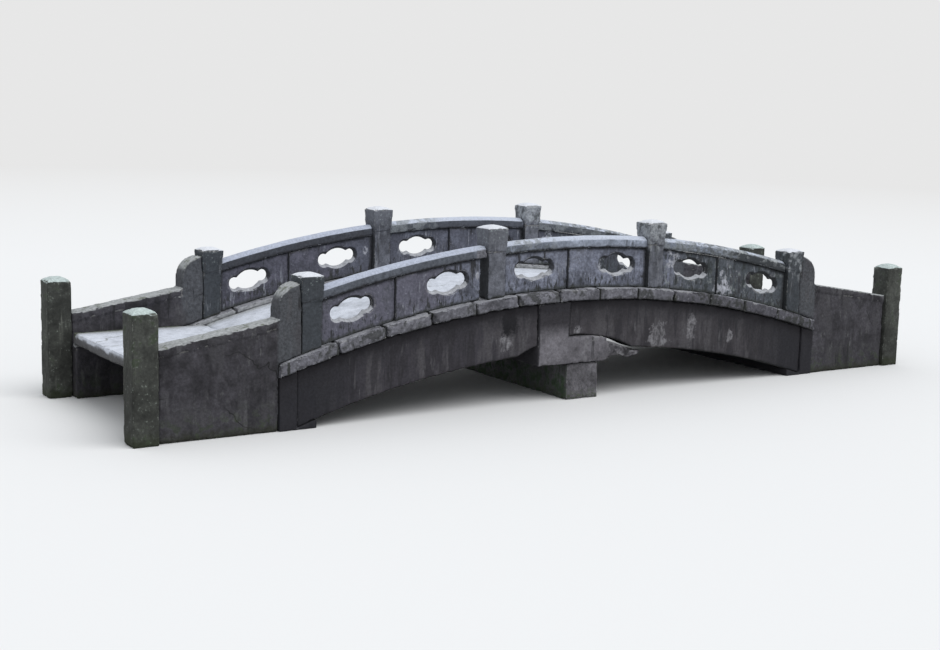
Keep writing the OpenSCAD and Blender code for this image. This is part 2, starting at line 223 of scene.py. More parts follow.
def set_in_place(piece, node, finish):
    """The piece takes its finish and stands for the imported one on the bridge."""
    piece.data.materials.clear()
    piece.data.materials.append(finish)
    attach(piece, "root")
    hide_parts(node)


def add_node(tree, kind, values=None, **settings):
    """A new shader node, with its inputs set to numbers and colours or joined to other nodes' outputs."""
    node = tree.nodes.new(kind)
    for key, value in settings.items():
        setattr(node, key, value)
    for key, value in (values or {}).items():
        if isinstance(value, bpy.types.NodeSocket):
            tree.links.new(value, node.inputs[key])
        else:
            node.inputs[key].default_value = value
    return node


class Finish:
    """Weathered concrete or stone: a mottled body, over which each section lays its stains and crusts."""

    def __init__(self, name, body, seed, contrast=1.0):
        self.material = bpy.data.materials.new(name)
        self.material.use_nodes = True
        self.tree = self.material.node_tree
        self.tree.nodes.clear()
        self.seed = seed
        self.place = self.add("ShaderNodeTexCoord").outputs["Object"]
        normal = self.add("ShaderNodeNewGeometry").outputs["Normal"]
        self.x, self.y, self.z = self.add("ShaderNodeSeparateXYZ", {0: self.place}).outputs
        self.nx, self.ny, self.nz = self.add("ShaderNodeSeparateXYZ", {0: normal}).outputs
        self.chip = self.add("ShaderNodeAttribute", attribute_name="chip").outputs["Fac"]
        self.cloud = self.patches(0.4, 0, detail=5.0)
        self.blotch = self.patches(0.1, 1, detail=6.0)
        self.fleck = self.patches(0.026, 2, detail=5.0)
        self.grain = self.patches(0.006, 3, detail=2.0)
        self.colour = body
        for mottle, spread in [(self.cloud, 0.42), (self.blotch, 0.36), (self.fleck, 0.23)]:
            self.colour = self.tone(self.colour, mottle, spread * contrast)

    def add(self, kind, values=None, **settings):
        """A node of this finish."""
        return add_node(self.tree, kind, values, **settings)

    def calc(self, operation, a, b=0.0, c=0.0):
        """One sum worked out at each point of the surface."""
        return self.add("ShaderNodeMath", {0: a, 1: b, 2: c}, operation=operation).outputs[0]

    def step(self, value, start, end, most=1.0):
        """0 up to start and most from end on, smooth between them; the value may rise or fall to end."""
        at_low, at_high = (0.0, most) if start < end else (most, 0.0)
        values = {0: value, 1: min(start, end), 2: max(start, end), 3: at_low, 4: at_high}
        return self.add("ShaderNodeMapRange", values, interpolation_type="SMOOTHSTEP").outputs[0]

    def overlap(self, *masks):
        """1 only where every one of the masks is 1."""
        total = masks[0]
        for mask in masks[1:]:
            total = self.calc("MULTIPLY", total, mask)
        return total

    def frayed(self, value, amount, mottle=None):
        """The value strayed by up to about amount, so that a step on it has an uneven edge."""
        # The noise strays about a quarter to each side of 0.5.
        stray = self.calc("SUBTRACT", mottle or self.blotch, 0.5)
        return self.calc("MULTIPLY_ADD", stray, amount * 4, value)

    def patches(self, size, number, detail=4.0, stretch=(1, 1, 1), rough=0.62):
        """Noise near 0.5 in patches about size metres wide, longer along an axis where stretch is above 1.

        Another number gives another pattern.
        """
        seed = self.seed + number * 0.37
        scale = tuple(1 / (size * longer) for longer in stretch)
        shift = (seed * 3.7, seed * 9.1, seed * 5.3)
        moved = self.add("ShaderNodeMapping", {"Vector": self.place, "Scale": scale, "Location": shift})
        values = {"Vector": moved.outputs[0], "Scale": 1.0, "Detail": detail, "Roughness": rough}
        return self.add("ShaderNodeTexNoise", values).outputs["Fac"]

    def streaks(self, number, width=0.05, low=0.56, high=0.68, long=9):
        """Rain streaks down an upright face, in some places only."""
        run = self.patches(width, number, stretch=(1, 1, long))
        here = self.step(self.patches(0.5, number + 0.5, detail=2.0), 0.46, 0.6)
        upright = self.step(self.nz, 0.5, 0.2)
        return self.overlap(self.step(run, low, high), here, upright)

    def over_curb(self):
        """Height over the curbs' top edge, square to the arc."""
        above = self.calc("SUBTRACT", self.z, arch_z)
        away = self.add("ShaderNodeCombineXYZ", {0: self.x, 2: above}).outputs[0]
        radius = self.add("ShaderNodeVectorMath", {0: away}, operation="LENGTH").outputs["Value"]
        return self.calc("SUBTRACT", radius, arch_r)

    def tone(self, colour, mottle, spread):
        """The colour made darker and lighter by spread where the noise is low and high."""
        low = 0.34
        high = 0.66
        values = {0: mottle, 1: low, 2: high, 3: 1 - spread, 4: 1 + spread}
        factor = self.add("ShaderNodeMapRange", values).outputs[0]
        grey = self.add("ShaderNodeCombineColor", {0: factor, 1: factor, 2: factor}).outputs[0]
        if isinstance(colour, tuple):
            colour = (*colour, 1.0)
        values = {0: 1.0, 6: colour, 7: grey}
        return self.add("ShaderNodeMix", values, data_type="RGBA", blend_type="MULTIPLY").outputs[2]

    def cover(self, mask, colour, spread=0.22):
        """Lays a stain, crust or growth of its own uneven colour over what is there."""
        values = {0: mask, 6: self.colour, 7: self.tone(colour, self.fleck, spread)}
        self.colour = self.add("ShaderNodeMix", values, data_type="RGBA").outputs[2]

    def done(self, raw=(0.26, 0.255, 0.25), bump_depth=0.01):
        """The material, with raw stone in the fresh chips, dark pores, fine grain and its own relief."""
        pores_a_metre = 70.0
        smoothest = 0.78
        roughest = 0.96
        gloss = 0.3
        fresh = self.calc("MULTIPLY_ADD", self.calc("SUBTRACT", self.fleck, 0.5), 1.2, self.chip)
        self.cover(self.step(fresh, 0.45, 0.8, 0.7), raw)
        self.colour = self.tone(self.colour, self.grain, 0.1)
        moved = self.add("ShaderNodeMapping", {"Vector": self.place, "Location": (self.seed, 0, 0)})
        cells = self.add("ShaderNodeTexVoronoi", {"Vector": moved.outputs[0], "Scale": pores_a_metre})
        from_pore = cells.outputs["Distance"]
        self.cover(self.step(from_pore, 0.17, 0.1, 0.5), (0.03, 0.03, 0.032))
        relief = self.calc("MULTIPLY_ADD", self.fleck, 0.45, self.calc("MULTIPLY", self.blotch, 0.55))
        relief = self.calc("MULTIPLY_ADD", self.grain, 0.08, relief)
        relief = self.calc("MULTIPLY_ADD", self.step(from_pore, 0.0, 0.2), 0.08, relief)
        bump = self.add("ShaderNodeBump", {"Height": relief, "Distance": bump_depth, "Strength": 1.0})
        dull = self.add("ShaderNodeMapRange", {0: relief, 1: 0.35, 2: 0.85, 3: smoothest, 4: roughest})
        values = {"Base Color": self.colour, "Roughness": dull.outputs[0], "Normal": bump.outputs[0]}
        shader = self.add("ShaderNodeBsdfPrincipled", values)
        shader.inputs["Specular IOR Level"].default_value = gloss
        self.add("ShaderNodeOutputMaterial", {"Surface": shader.outputs[0]})
        return self.material


def post_concrete():
    """Grey with streaks and paler heads, mottled on the right and nearly black at the bridge's ends."""
    post = Finish("post_concrete", body=(0.13, 0.136, 0.16), seed=1.0)
    height = post.over_curb()
    head = post.step(post.frayed(height, 0.06), head_foot, 0.62, 0.8)
    post.cover(head, (0.15, 0.158, 0.18))

    on_right = post.step(post.x, inner_post_x - 0.3, inner_post_x - 0.1)
    right_head = post.overlap(post.step(post.frayed(height, 0.08), head_foot - 0.02, 0.58), on_right)
    post.cover(right_head, (0.27, 0.285, 0.31), 0.45)
    end_post = post.step(post.calc("ABSOLUTE", post.x), end_post_x - 0.8, end_post_x - 0.1, 0.85)
    post.cover(end_post, (0.042, 0.049, 0.056))

    dark_streaks = post.overlap(post.streaks(4), post.step(height, 0.66, 0.5))
    post.cover(dark_streaks, (0.055, 0.057, 0.063))
    pale_streaks = post.overlap(post.streaks(5, width=0.035), post.step(height, 0.62, 0.48, 0.7))
    post.cover(pale_streaks, (0.24, 0.25, 0.275))

    mottles = post.patches(0.06, 7, stretch=(1, 1, 1.3), rough=0.5)
    pale_mottles = post.step(mottles, 0.5, 0.64, 0.75)
    post.cover(post.overlap(pale_mottles, on_right, post.step(height, 0.3, 0.5)), (0.36, 0.38, 0.4), 0.3)
    dark_mottles = post.step(mottles, 0.47, 0.36, 0.7)
    post.cover(post.overlap(dark_mottles, on_right, post.step(height, 0.25, 0.4)), (0.06, 0.066, 0.07))

    # Painted shade: the faces that look along the bridge are darkened below the handrail, between rail,
    # panel and post.
    side_faces_in_shade = post.step(post.calc("ABSOLUTE", post.nx), 0.5, 0.8, 0.9)
    shaded_below_rail = post.step(post.frayed(height, 0.02), 0.46, 0.38)
    post.cover(post.overlap(side_faces_in_shade, shaded_below_rail), (0.032, 0.035, 0.038))
    lichen = post.overlap(post.step(post.fleck, 0.6, 0.66, 0.6), post.step(height, 0.45, 0.6))
    post.cover(lichen, (0.27, 0.31, 0.3))

    # Painted shade: a thin dark band just under the lip of the head.
    lip_shade_start = post.step(post.frayed(height, 0.004), head_foot - 0.012, head_foot - 0.004, 0.6)
    lip_shade_end = post.step(height, head_foot + 0.003, head_foot - 0.002)
    post.cover(post.overlap(lip_shade_start, lip_shade_end), (0.03, 0.032, 0.036))
    foot = post.step(post.frayed(height, 0.02), 0.03, 0.0, 0.8)
    post.cover(foot, (0.04, 0.044, 0.036))
    top = post.step(post.frayed(post.nz, 0.06), 0.5, 0.8)
    post.cover(top, (0.68, 0.7, 0.75), 0.1)
    return post.done()


post_finish = post_concrete()
for side in ["near", "far"]:
    for post_name in ["left_end_post", "left_post", "right_post", "right_end_post"]:
        node = f"{side}_{post_name}"
        piece = worn_piece(node, grain=0.0075, chip=0.011, dent=0.003, keep=0.4)
        set_in_place(piece, node, post_finish)

# Handrails
# Each bay has one handrail with a rounded top, cast in place between the heads of two posts. Its pale skin
# flakes off along the top, its sides are stained, and painted shade darkens their lower edge.
rail_foot = 0.406
square_edge = 1.2


def inner_faces(finish):
    """1 on the faces that look in over the walkway, 0 on the others."""
    return finish.step(finish.calc("MULTIPLY", finish.ny, finish.y), -0.2, -0.6)


def rail_concrete():
    """Blue grey and pale along the top, darker on the left, mottled and flaking on the right."""
    rail = Finish("rail_concrete", body=(0.26, 0.29, 0.355), seed=2.0)
    height = rail.over_curb()
    stains = rail.overlap(rail.step(rail.blotch, 0.5, 0.62, 0.6), rail.step(height, 0.49, 0.44))
    rail.cover(stains, (0.12, 0.127, 0.15))
    rail.cover(rail.streaks(4), (0.05, 0.054, 0.062))
    left_bay = rail.step(rail.frayed(rail.x, 0.08), -inner_post_x, -inner_post_x - 0.3, 0.85)
    rail.cover(left_bay, (0.083, 0.09, 0.106), 0.35)
    # Painted shade on the side that looks in over the walkway, which gets less light.
    shaded_inner_side = rail.overlap(inner_faces(rail), rail.step(rail.blotch, 0.25, 0.42, 0.85))
    rail.cover(shaded_inner_side, (0.045, 0.047, 0.056))
    # Painted shade along the lower edge of the rail's sides and under it.
    shaded_lower_edge = rail.step(rail.frayed(height, 0.012), rail_foot + 0.03, rail_foot + 0.008)
    rail.cover(shaded_lower_edge, (0.026, 0.027, 0.031))

    top = rail.step(rail.frayed(rail.nz, 0.08), 0.36, 0.56)
    rail.cover(top, (0.5, 0.54, 0.63), 0.12)
    left_top = rail.overlap(top, rail.step(rail.frayed(rail.x, 0.08), -inner_post_x, -inner_post_x - 0.3))
    rail.cover(left_top, (0.42, 0.455, 0.55), 0.18)
    worn_top = rail.overlap(rail.step(rail.blotch, 0.56, 0.64, 0.6), rail.step(rail.nz, 0.5, 0.8))
    rail.cover(worn_top, (0.38, 0.4, 0.46))
    specks = rail.overlap(rail.step(rail.fleck, 0.63, 0.68, 0.6), rail.step(rail.nz, 0.3, 0.6))
    rail.cover(specks, (0.2, 0.205, 0.22))

    right_bay = rail.step(rail.x, inner_post_x - 0.1, inner_post_x + 0.2)
    past_left_post = rail.step(rail.x, -inner_post_x - 0.05, -inner_post_x + 0.05)
    mottled = rail.calc("MAXIMUM", right_bay, rail.overlap(past_left_post, rail.step(rail.x, -0.2, -0.4)))
    pale_mottles = rail.overlap(mottled, rail.step(rail.blotch, 0.44, 0.54, 0.75))
    rail.cover(pale_mottles, (0.25, 0.268, 0.285), 0.4)
    dark_specks = rail.step(rail.fleck, 0.5, 0.58, 0.7)
    rail.cover(rail.overlap(mottled, dark_specks, rail.step(rail.nz, 0.6, 0.2)), (0.075, 0.083, 0.085))
    lost_skin = rail.step(rail.patches(0.03, 5, detail=5.0, stretch=(2, 1, 1)), 0.5, 0.56, 0.75)
    rail.cover(rail.overlap(rail.step(rail.x, 1.3, 1.7), lost_skin), (0.1, 0.108, 0.112), 0.4)

    repair_end = rail.step(rail.frayed(rail.x, 0.01), -inner_post_x - 0.225, -inner_post_x - 0.21)
    before_post = rail.step(rail.x, -inner_post_x, -inner_post_x - 0.05)
    near_side = rail.step(rail.y, 0.0, -0.5)
    repair = rail.overlap(repair_end, before_post, near_side, rail.step(rail.nz, 0.7, 0.4))
    rail.cover(repair, (0.17, 0.172, 0.195), 0.5)

    right_end = rail.overlap(rail.step(rail.frayed(rail.x, 0.1), 2.05, 2.2),
                             rail.step(rail.frayed(rail.nz, 0.12), 0.75, 0.5, 0.9))
    rail.cover(right_end, (0.036, 0.04, 0.044))
    flakes = rail.step(rail.patches(0.04, 6, detail=5.0, stretch=(2, 1, 1)), 0.54, 0.6, 0.8)
    right_flakes = rail.overlap(rail.step(rail.x, 1.9, 2.2), flakes, rail.step(rail.nz, -0.2, 0.3))
    rail.cover(right_flakes, (0.36, 0.38, 0.39), 0.3)
    end_faces = rail.step(rail.calc("ABSOLUTE", rail.nx), 0.5, 0.8, 0.8)
    rail.cover(end_faces, (0.06, 0.065, 0.072))
    return rail.done(raw=(0.3, 0.31, 0.34), bump_depth=0.006)


rail_finish = rail_concrete()
for side in ["near", "far"]:
    for span in ["left", "middle", "right"]:
        node = f"{side}_{span}_rail"
        piece = worn_piece(node, grain=0.0085, chip=0.012, dent=0.0025, keep=0.4, least_angle=square_edge)
        set_in_place(piece, node, rail_finish)

# Pierced panels and struts
# Two thin cast panels with splayed openings fill each bay, and a thicker strut stands between them under
# the handrail. Painted shade darkens them below the handrail, beside the posts and in the openings.
broken_from = -1.165
broken_to = -1.1
break_depth = 0.02
# Place, half width and half height of each white crust, seen from the side.
crusts = [
    (1.95, 1.03, 0.1, 0.09),
    (1.27, 1.38, 0.09, 0.09),
    (1.8, 0.95, 0.06, 0.04),
    (1.97, 1.13, 0.05, 0.14),
    (1.48, 1.22, 0.12, 0.035),
    (-1.18, 1.33, 0.03, 0.06),
]


def broken_panel(spot):
    """The near left panel's end has broken off at the post and left a ragged edge."""
    return break_depth if broken_from < spot.x < broken_to and spot.y < 0 else 0.0


def around(finish, x, z, half_w, half_h):
    """1 in a ragged patch round a place in the side view, 0 away from it."""
    across = finish.calc("DIVIDE", finish.calc("SUBTRACT", finish.x, x), half_w)
    up = finish.calc("DIVIDE", finish.calc("SUBTRACT", finish.z, z), half_h)
    away = finish.add("ShaderNodeCombineXYZ", {0: across, 2: up}).outputs[0]
    reach = finish.add("ShaderNodeVectorMath", {0: away}, operation="LENGTH").outputs["Value"]
    ragged = finish.frayed(finish.frayed(reach, 0.9), 0.5, finish.fleck)
    return finish.step(ragged, 1.15, 0.75)


def from_nearest(finish, spacing):
    """Distance along the bridge to the nearest of a row of posts or joints with mid-span between two."""
    past_middle = finish.calc("WRAP", finish.x, spacing, 0.0)
    return finish.calc("ABSOLUTE", finish.calc("SUBTRACT", past_middle, spacing / 2))


def panel_concrete():
    """Blue grey with painted shade under the handrail and in the openings, and white crusts on the right.
    """
    panel = Finish("panel_concrete", body=(0.184, 0.197, 0.252), seed=3.0, contrast=1.15)
    height = panel.over_curb()
    left_bay = panel.step(panel.frayed(panel.x, 0.05), -inner_post_x - 0.3, -inner_post_x - 0.7, 0.85)
    panel.cover(left_bay, (0.124, 0.12, 0.155))
    # Painted shade: the panels are darker towards the right end of the bridge.
    shaded_far_right = panel.step(panel.frayed(panel.x, 0.05), inner_post_x + 0.15, inner_post_x + 0.5, 0.85)
    panel.cover(shaded_far_right, (0.063, 0.073, 0.08))
    damp = panel.overlap(panel.step(panel.cloud, 0.5, 0.6, 0.6), panel.step(panel.blotch, 0.46, 0.56))
    panel.cover(damp, (0.08, 0.082, 0.094))
    # Painted shade on the faces that look in over the walkway, which get less light.
    shaded_inner_side = panel.overlap(inner_faces(panel), panel.step(panel.blotch, 0.3, 0.55, 0.75))
    panel.cover(shaded_inner_side, (0.062, 0.063, 0.08))

    panel.cover(panel.streaks(4, width=0.045, low=0.53, high=0.64), (0.043, 0.044, 0.05))
    fine_streaks = panel.streaks(6, width=0.02, low=0.55, high=0.66, long=12)
    panel.cover(panel.overlap(fine_streaks, panel.step(height, 0.3, 0.2)), (0.05, 0.051, 0.058))
    panel.cover(panel.streaks(5, width=0.03, low=0.55, high=0.66), (0.26, 0.27, 0.31))
    lichen = panel.overlap(panel.step(panel.fleck, 0.6, 0.66, 0.5), panel.step(panel.blotch, 0.5, 0.58))
    panel.cover(lichen, (0.29, 0.3, 0.33))

    right_bay = panel.step(panel.frayed(panel.x, 0.05), inner_post_x - 0.1, inner_post_x + 0.2)
    pale_mottles = panel.step(panel.patches(0.07, 7, detail=5.0, stretch=(1, 1, 1.5)), 0.55, 0.64, 0.6)
    panel.cover(panel.overlap(right_bay, pale_mottles), (0.24, 0.262, 0.262), 0.4)
    dark_mottles = panel.step(panel.patches(0.07, 8, detail=5.0, stretch=(1, 1, 2.5)), 0.52, 0.6, 0.8)
    panel.cover(panel.overlap(right_bay, dark_mottles), (0.036, 0.042, 0.042))
    splashes = panel.step(panel.patches(0.035, 9, stretch=(1, 1, 3)), 0.52, 0.62)
    panel.cover(panel.overlap(splashes, panel.step(height, 0.2, 0.08)), (0.045, 0.047, 0.05))

    # Painted shadow of the handrail along the top of the panels.
    shade_under_rail = panel.step(panel.frayed(height, 0.016), 0.37, 0.4, 0.85)
    panel.cover(shade_under_rail, (0.036, 0.037, 0.042))
    foot = panel.step(panel.frayed(height, 0.02), 0.045, 0.01, 0.75)
    panel.cover(foot, (0.048, 0.053, 0.048))
    # Painted shade at the panels' ends beside the posts.
    shade_beside_post = panel.step(panel.frayed(from_nearest(panel, bay_l), 0.015), 0.15, 0.115, 0.85)
    panel.cover(shade_beside_post, (0.04, 0.042, 0.046))
    for x, z, half_w, half_h in crusts:
        crust = panel.step(panel.patches(0.05, 10 + x, rough=0.55), 0.4, 0.56, 0.9)
        panel.cover(panel.overlap(around(panel, x, z, half_w, half_h), crust), (0.42, 0.43, 0.48), 0.4)

    # Painted shade in the openings' reveals that face to the left and down.
    shaded_opening_side = panel.step(panel.nx, -0.35, -0.7, 0.9)
    panel.cover(shaded_opening_side, (0.036, 0.038, 0.042))
    shaded_opening_head = panel.step(panel.nz, -0.25, -0.55, 0.9)
    panel.cover(shaded_opening_head, (0.036, 0.037, 0.04))
    # Painted light: the upward sills of the openings are paler.
    lit_opening_sill = panel.overlap(panel.step(panel.frayed(panel.nz, 0.08), 0.3, 0.5),
                                 panel.step(height, 0.36, 0.34))
    panel.cover(lit_opening_sill, (0.4, 0.41, 0.44))
    return panel.done()


panel_finish = panel_concrete()
for side in ["near", "far"]:
    for span in ["left", "middle", "right"]:
        node = f"{side}_{span}_panels"
        piece = worn_piece(node, grain=0.0075, chip=0.006, dent=0.002, keep=0.3, ragged=broken_panel)
        set_in_place(piece, node, panel_finish)
    node = f"{side}_struts"
    piece = worn_piece(node, grain=0.0085, chip=0.009, dent=0.002, keep=0.3)
    set_in_place(piece, node, panel_finish)

# Curb stones
# Rough grey stones, each about half a metre long, bed on the girders and carry the balustrades. Their
# edges are chipped, and moss darkens their joints.
stone_l = 0.5


def curb_stone():
    """Speckled grey, painted shade on the right and at its lower edge, pale on top and towards the
    walkway.
    """
    curb = Finish("curb_stone", body=(0.178, 0.177, 0.203), seed=4.0, contrast=1.2)
    height = curb.over_curb()
    # Painted shade: the curb is darker on the right of the bridge.
    on_right = curb.step(curb.frayed(curb.x, 0.1), inner_post_x - 0.1, inner_post_x + 0.4, 0.75)
    curb.cover(on_right, (0.076, 0.074, 0.088))
    damp = curb.overlap(curb.step(curb.cloud, 0.48, 0.56), curb.step(curb.blotch, 0.44, 0.54, 0.85))
    curb.cover(damp, (0.038, 0.04, 0.038))
    specks = curb.overlap(curb.step(curb.fleck, 0.58, 0.66, 0.6), curb.step(curb.blotch, 0.5, 0.42))
    curb.cover(specks, (0.25, 0.25, 0.275))
    # Painted shade along the lower edge and underside of the curb, which overhangs the girder.
    shaded_lower_edge = curb.step(curb.frayed(height, 0.012), -0.1, -0.12, 0.8)
    curb.cover(shaded_lower_edge, (0.028, 0.029, 0.029))
    inner_edge = curb.overlap(inner_faces(curb), curb.step(height, -0.05, -0.03, 0.85))
    curb.cover(inner_edge, (0.36, 0.37, 0.385))
    mossy_joint = curb.step(curb.frayed(from_nearest(curb, stone_l), 0.012), 0.018, 0.006, 0.85)
    curb.cover(mossy_joint, (0.03, 0.033, 0.028))
    worn_top = curb.overlap(curb.step(curb.frayed(curb.nz, 0.12), 0.4, 0.7),
                            curb.step(curb.cloud, 0.6, 0.5, 0.85))
    curb.cover(worn_top, (0.3, 0.305, 0.33))
    return curb.done()


curb_finish = curb_stone()
for side in ["near", "far"]:
    for span in ["left", "middle", "right"]:
        node = f"{side}_{span}_curb"
        piece = worn_piece(node, grain=0.009, chip=0.02, dent=0.005, keep=0.4)
        set_in_place(piece, node, curb_finish)

# Girders
# Four cast girders with a curved soffit span from the abutments to the crosshead. They are dark, with
# painted shade under the curb, underneath and at the ends, faint streaks down their faces and white lime
# blooms.
curb_foot = -0.122
stain_x = -0.835
# Place, half width and half height of each lime bloom, seen from the side.
blooms = [
    (1.06, 0.6, 0.1, 0.13),
    (1.52, 0.63, 0.06, 0.14),
    (2.08, 0.52, 0.04, 0.07),
    (-0.88, 0.61, 0.07, 0.09),
    (1.13, 0.52, 0.1, 0.04),
    (0.02, 0.71, 0.05, 0.05),
]


def girder_concrete():
    """Nearly black with upright streaks, a long black stain on the left and pale blooms on the right."""
    girder = Finish("girder_concrete", body=(0.05, 0.0465, 0.052), seed=5.0, contrast=0.7)
    height = girder.over_curb()
    on_left = girder.step(girder.frayed(girder.x, 0.1), -0.2, -1.2, 0.7)
    girder.cover(on_left, (0.047, 0.044, 0.054))
    girder.cover(girder.streaks(4, width=0.09, low=0.5, high=0.62), (0.032, 0.031, 0.036))
    pale_bands = girder.step(girder.patches(0.16, 5, detail=3.0, stretch=(1, 1, 5)), 0.48, 0.6, 0.8)
    girder.cover(pale_bands, (0.083, 0.079, 0.086))
    dark_bands = girder.step(girder.patches(0.12, 6, detail=3.0, stretch=(1, 1, 6)), 0.52, 0.62, 0.75)
    girder.cover(dark_bands, (0.03, 0.028, 0.033))
    girder.cover(girder.streaks(7, width=0.04, low=0.56, high=0.66, long=8), (0.095, 0.092, 0.1))

    aside = girder.calc("ABSOLUTE", girder.frayed(girder.calc("SUBTRACT", girder.x, stain_x), 0.05))
    stain_foot = girder.step(girder.frayed(girder.z, 0.08), 0.68, 0.76)
    girder.cover(girder.overlap(girder.step(aside, 0.11, 0.06, 0.96), stain_foot), (0.005, 0.005, 0.007))
    for x, z, half_w, half_h in blooms:
        drips = girder.patches(0.06, 8 + x, detail=3.0, stretch=(1, 1, 2), rough=0.5)
        bloom = girder.overlap(around(girder, x, z, half_w, half_h), girder.step(drips, 0.34, 0.58, 0.9))
        girder.cover(bloom, (0.23, 0.225, 0.24), 0.45)

    # Painted shade: the girders darken to near black towards the bridge's ends.
    shaded_bridge_ends = girder.step(girder.calc("ABSOLUTE", girder.frayed(girder.x, 0.05)), 2.3, 2.95, 0.9)
    girder.cover(shaded_bridge_ends, (0.02, 0.02, 0.025))
    # Painted shade under the curb, darkest just beneath it.
    upper_shade = girder.step(girder.frayed(height, 0.05), curb_foot - 0.3, curb_foot - 0.03, 0.7)
    girder.cover(upper_shade, (0.02, 0.019, 0.023))
    deep_upper_shade = girder.step(girder.frayed(height, 0.02), curb_foot - 0.13, curb_foot - 0.03, 0.9)
    girder.cover(deep_upper_shade, (0.012, 0.011, 0.014))
    # Painted shade on the soffit, which faces down.
    soffit = girder.step(girder.nz, -0.3, -0.7, 0.8)
    girder.cover(soffit, (0.02, 0.021, 0.021))
    return girder.done(raw=(0.12, 0.118, 0.12), bump_depth=0.006)


girder_finish = girder_concrete()
for side in ["near", "far"]:
    for span in ["left", "right"]:
        node = f"{side}_{span}_girder"
        piece = worn_piece(node, grain=0.012, chip=0.01, dent=0.004, keep=0.35)
        set_in_place(piece, node, girder_finish)

# Crosshead
# One cast beam across the bridge rests on the pier and is let in between the girders' ends. Its right end
# has broken away and shows pale raw concrete.
break_from = 0.38
torn_depth = 0.009
torn_over = 0.04
beam_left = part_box("crosshead")[0].x
stem_right = -0.1


def broken_end(spot):
    """The right end is ragged where it has broken off."""
    return torn_depth * min(1.0, (spot.x - break_from) / torn_over) if spot.x > break_from else 0.0


def crosshead_concrete():
    """Grey below and nearly black above as painted shade, with pale patches and painted shade of hollows
    in the broken end.
    """
    beam = Finish("crosshead_concrete", body=(0.165, 0.158, 0.175), seed=6.0, contrast=0.8)
    # Painted shade over the upper part of the beam, under the girders and the deck.
    upper_shade = beam.step(beam.frayed(beam.z, 0.03), 0.64, 0.82, 0.97)
    beam.cover(upper_shade, (0.03, 0.028, 0.033))
    beam.cover(beam.streaks(4, width=0.06), (0.045, 0.045, 0.05))
    left_arris = beam.step(beam.frayed(beam.x, 0.008), beam_left + 0.03, beam_left + 0.012, 0.85)
    beam.cover(left_arris, (0.02, 0.02, 0.024))
    stem_arris = beam.step(beam.frayed(beam.x, 0.01), stem_right - 0.03, stem_right - 0.01, 0.85)
    beam.cover(beam.overlap(stem_arris, beam.step(beam.z, 0.64, 0.66)), (0.02, 0.02, 0.024))
    # Painted shade, deepest just under the deck.
    deep_upper_shade = beam.step(beam.frayed(beam.z, 0.03), 0.87, 0.95, 0.9)
    beam.cover(deep_upper_shade, (0.022, 0.021, 0.026))
    pale_mottles = beam.overlap(beam.step(beam.blotch, 0.52, 0.6, 0.7), beam.step(beam.x, 0.0, 0.2))
    beam.cover(pale_mottles, (0.2, 0.197, 0.206))

    torn = beam.step(beam.frayed(beam.x, 0.06), break_from - 0.06, break_from + 0.06)
    beam.cover(beam.overlap(torn, beam.step(beam.blotch, 0.3, 0.4, 0.95)), (0.075, 0.072, 0.08), 0.5)
    raw_patches = beam.step(beam.patches(0.07, 8, detail=3.0, rough=0.5), 0.5, 0.68, 0.85)
    beam.cover(beam.overlap(torn, raw_patches), (0.23, 0.226, 0.24), 0.3)
    # Painted shade of hollows in the broken end.
    hollow_shade = beam.step(beam.patches(0.09, 9, detail=3.0, rough=0.5), 0.48, 0.34, 0.85)
    beam.cover(beam.overlap(torn, hollow_shade), (0.022, 0.021, 0.024))
    # Painted shade on the faces that look down.
    underside = beam.step(beam.nz, -0.4, -0.8, 0.8)
    beam.cover(underside, (0.025, 0.026, 0.026))
    return beam.done(raw=(0.2, 0.197, 0.2), bump_depth=0.006)


crosshead_finish = crosshead_concrete()
piece = worn_piece("crosshead", grain=0.009, chip=0.012, dent=0.004, keep=0.4, ragged=broken_end)
set_in_place(piece, "crosshead", crosshead_finish)

# Pier
# A low wall of cast concrete stands across the bridge, a little right of mid-span, and carries the
# crosshead. Green moss covers its damp left side and its foot.


def pier_concrete():
    """Grey with dark streaks, darker at the top under the crosshead and mossy on the left and at the foot.
    """
    pier = Finish("pier_concrete", body=(0.165, 0.159, 0.174), seed=7.0, contrast=1.1)
    pier.cover(pier.streaks(4), (0.07, 0.07, 0.072))
    under_beam = pier.step(pier.frayed(pier.z, 0.02), 0.34, 0.365, 0.8)
    pier.cover(under_beam, (0.045, 0.044, 0.048))
    left_moss = pier.overlap(pier.step(pier.nx, -0.4, -0.8), pier.step(pier.blotch, 0.4, 0.6))
    pier.cover(left_moss, (0.06, 0.09, 0.055))
    foot = pier.step(pier.frayed(pier.z, 0.05), 0.12, 0.02, 0.8)
    pier.cover(pier.overlap(foot, pier.step(pier.fleck, 0.44, 0.54)), (0.05, 0.065, 0.035))
    return pier.done()


pier_finish = pier_concrete()
piece = worn_piece("pier", grain=0.01, chip=0.013, dent=0.004, keep=0.4)
set_in_place(piece, "pier", pier_finish)

# Abutments
# The bridge's ends rest on abutments of cast concrete, with a ledge under each girder and a breast wall
# under the deck. They have the girders' dark finish.
for span in ["left", "right"]:
    node = f"{span}_abutment"
    piece = worn_piece(node, grain=0.012, chip=0.006, dent=0.002, keep=0.3)
    set_in_place(piece, node, girder_finish)

# Deck
# The arched deck slab of cast concrete lies between the girders and is let into the crosshead. Its walking
# surface is worn pale, and painted shade darkens its sides and, most of all, its underside.


def cracks(finish, size, width, number):
    """1 along fine cracks about size metres apart, in some places only."""
    stray = finish.patches(size / 3, number, detail=3.0)
    values = {0: stray, 1: (size / 5, size / 4, size / 6), 2: finish.place}
    bent = finish.add("ShaderNodeVectorMath", values, operation="MULTIPLY_ADD").outputs[0]
    values = {"Vector": bent, "Scale": 1 / size}
    cells = finish.add("ShaderNodeTexVoronoi", values, feature="DISTANCE_TO_EDGE")
    line = finish.step(cells.outputs["Distance"], width / size, width / size / 4)
    return finish.overlap(line, finish.step(finish.patches(size, number + 0.5, detail=2.0), 0.5, 0.58))


